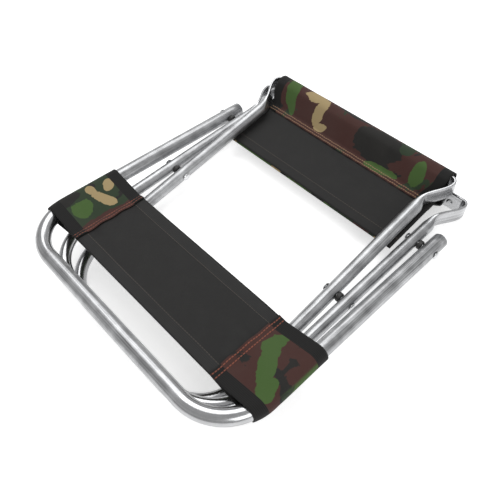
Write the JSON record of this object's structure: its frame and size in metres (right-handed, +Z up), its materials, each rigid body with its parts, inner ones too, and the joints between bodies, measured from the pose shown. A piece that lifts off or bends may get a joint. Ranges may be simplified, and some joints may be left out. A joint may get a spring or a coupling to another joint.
{
  "type": "folding chair",
  "caption": "Small folding camp chair with a cloth seat and back on three nested tube frames, stored folded flat.",
  "frame": {"origin": "on the ground under the middle of the folded chair's bounding box", "axes": "+X to the sitter's left-hand side across the chair, +Y from the feet to the seat bars, +Z up from the ground"},
  "size_m": [0.3256, 0.3698, 0.061],
  "materials": {
    "tube_steel": "bright drawn tube, brushed on its straights",
    "rivet_steel": "bright plated",
    "spacer_plastic": "dark moulded",
    "camo_cloth": "woven camouflage print",
    "black_cloth": "coated reverse of the cloth, slightly shiny",
    "binding_tape": "woven edge tape"
  },
  "bodies": {
    "rear_legs": {"rear_leg_frame": "tube_steel", "rear_seat_bar": "tube_steel", "rear_bar_rivet_left": "rivet_steel", "rear_bar_rivet_right": "rivet_steel", "leg_pivot_rivet_left": "rivet_steel", "leg_pivot_spacer_left": "spacer_plastic", "leg_pivot_rivet_right": "rivet_steel", "leg_pivot_spacer_right": "spacer_plastic", "back_pivot_rivet_left": "rivet_steel", "back_pivot_spacer_left": "spacer_plastic", "back_pivot_rivet_right": "rivet_steel", "back_pivot_spacer_right": "spacer_plastic"},
    "front_legs": {"front_leg_frame": "tube_steel", "front_seat_bar": "tube_steel", "front_bar_rivet_left": "rivet_steel", "front_bar_rivet_right": "rivet_steel"},
    "back": {"back_frame": "tube_steel", "back_end_plug_left": "tube_steel", "back_end_plug_right": "tube_steel", "back_panel": "black_cloth", "back_sleeve_left": "camo_cloth", "back_sleeve_right": "camo_cloth", "back_binding_upper": "binding_tape", "back_binding_lower": "binding_tape"},
    "seat_front": {"seat_sleeve_front": "camo_cloth", "seat_panel_front": "black_cloth", "seat_fold_front": "black_cloth", "seat_binding_front_left": "binding_tape", "seat_binding_front_right": "binding_tape"},
    "seat_rear": {"seat_sleeve_rear": "camo_cloth", "seat_panel_rear": "black_cloth", "seat_fold_rear": "black_cloth", "seat_binding_rear_left": "binding_tape", "seat_binding_rear_right": "binding_tape"}
  },
  "joints": [
    {"name": "leg_fold", "type": "hinge", "parent": "rear_legs", "child": "front_legs", "pos_m": [0, -0.00231, 0.02089], "axis": [1, 0, 0], "range_deg": [0, 58.3]},
    {"name": "back_fold", "type": "hinge", "parent": "rear_legs", "child": "back", "pos_m": [0, 0.10154, 0.01532], "axis": [-1, 0, 0], "range_deg": [0, 160]},
    {"name": "seat_front_turn", "type": "hinge", "parent": "front_legs", "child": "seat_front", "pos_m": [0, 0.17312, 0.03499], "axis": [1, 0, 0], "range_deg": [0, 41.1], "deforming": ["seat_fold_front"]},
    {"name": "seat_rear_turn", "type": "hinge", "parent": "rear_legs", "child": "seat_rear", "pos_m": [0, 0.17343, 0.01146], "axis": [-1, 0, 0], "range_deg": [0, 45.6], "deforming": ["seat_fold_rear"]}
  ],
  "couplings": [
    {"joint": "seat_front_turn", "follows": "leg_fold", "ratio": 0.6957},
    {"joint": "seat_rear_turn", "follows": "leg_fold", "ratio": 0.7738}
  ]
}
